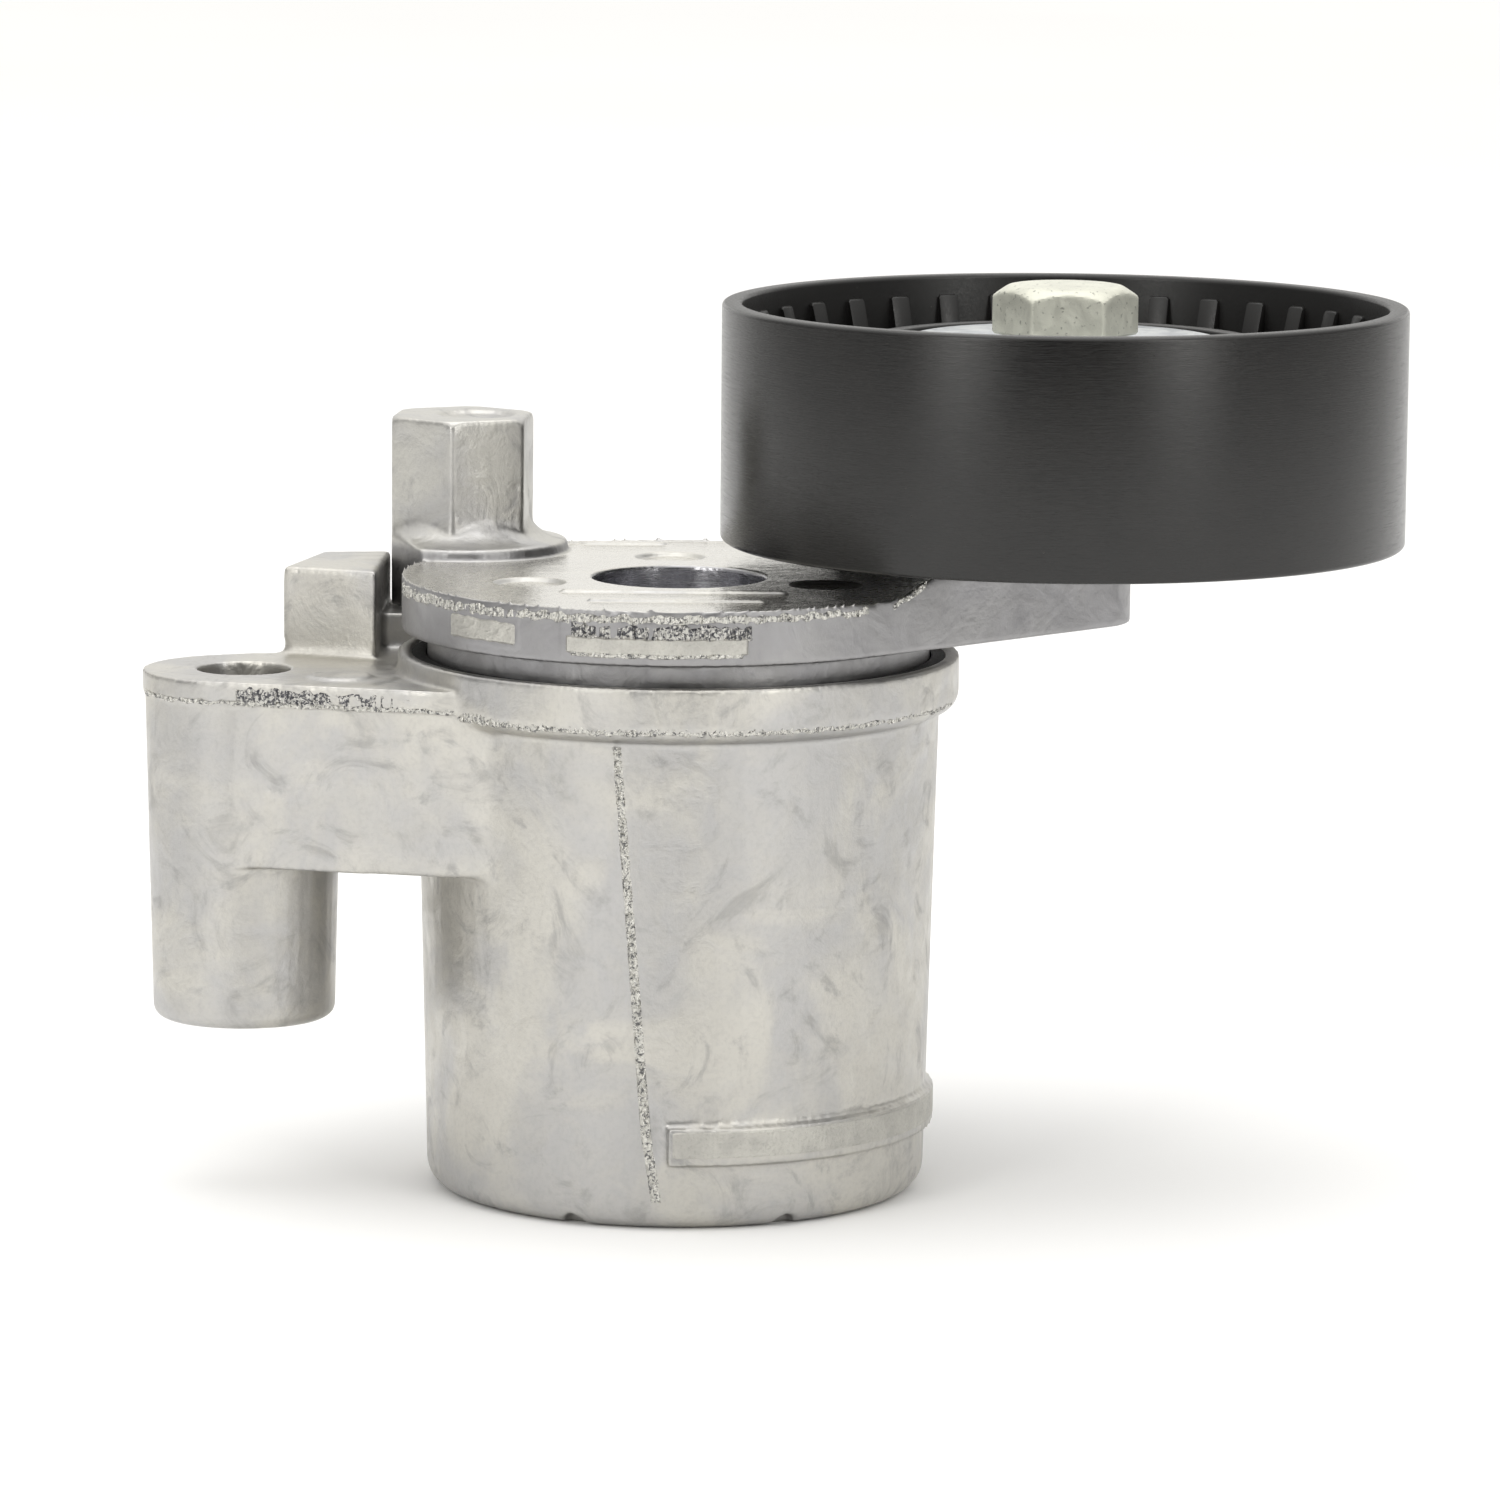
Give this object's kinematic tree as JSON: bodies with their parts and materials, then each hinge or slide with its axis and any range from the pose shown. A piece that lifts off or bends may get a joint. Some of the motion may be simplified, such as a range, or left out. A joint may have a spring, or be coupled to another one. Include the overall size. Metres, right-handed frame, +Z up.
{
  "type": "belt tensioner idler",
  "caption": "Automatic belt tensioner: cast spring cup with mounting bosses, swinging cast arm with a wrench boss, and a smooth idler pulley on a sealed ball bearing.",
  "frame": {"origin": "the arm's pivot axis, at the flat bottom of the spring cup", "axes": "+Z up the pivot axis towards the pulley; +X across the object, from the front mounting boss towards the pulley; +Y to the rear mounting boss"},
  "size_m": [0.1374, 0.0822, 0.0981],
  "materials": {
    "cast_base": "as cast, satin",
    "cast_arm": "as cast, satin",
    "pivot_steel": "turned",
    "bearing_plastic": "matte",
    "black_plastic": "matte",
    "spring_steel": "oiled",
    "seal_rubber": "matte",
    "bushing_bronze": "satin",
    "pulley_plastic": "semi gloss with fine running marks",
    "bearing_steel": "ground",
    "cage_plastic": "matte",
    "zinc_steel": "zinc plated, satin",
    "zinc_bolt": "zinc plated, matt"
  },
  "bodies": {
    "base": {"base_housing": "cast_base", "pivot_pin": "pivot_steel", "pivot_washer": "pivot_steel", "thrust_washer": "bearing_plastic", "lower_spring_seat": "black_plastic", "torsion_spring": "spring_steel", "dust_seal": "seal_rubber"},
    "arm": {"tensioner_arm": "cast_arm", "pivot_bushing": "bushing_bronze", "damping_ring": "bearing_plastic", "upper_spring_seat": "black_plastic", "bearing_inner_ring": "bearing_steel", "bearing_sleeve": "zinc_steel", "upper_dust_cover": "zinc_steel", "lower_dust_cover": "zinc_steel", "pulley_bolt": "zinc_bolt"},
    "pulley_wheel": {"pulley": "pulley_plastic", "bearing_outer_ring": "bearing_steel", "upper_bearing_seal": "seal_rubber", "lower_bearing_seal": "seal_rubber"},
    "ball_set": {"bearing_balls": "bearing_steel", "bearing_cage": "cage_plastic"}
  },
  "joints": [
    {"name": "arm_swing", "type": "hinge", "parent": "base", "child": "arm", "pos_m": [0, 0, 0.043], "axis": [0, 0, 1], "range_deg": [-62, 0], "stiffness_Nm_per_rad": 8, "springref_deg": 74.48, "deforming": ["torsion_spring"]},
    {"name": "pulley_spin", "type": "hinge", "parent": "arm", "child": "pulley_wheel", "pos_m": [0.04186, 0.0089, 0.0834], "axis": [0, 0, 1], "continuous": true},
    {"name": "ball_orbit", "type": "hinge", "parent": "arm", "child": "ball_set", "pos_m": [0.04186, 0.0089, 0.0834], "axis": [0, 0, 1], "continuous": true}
  ],
  "couplings": [
    {"joint": "ball_orbit", "follows": "pulley_spin", "ratio": 0.6119}
  ]
}
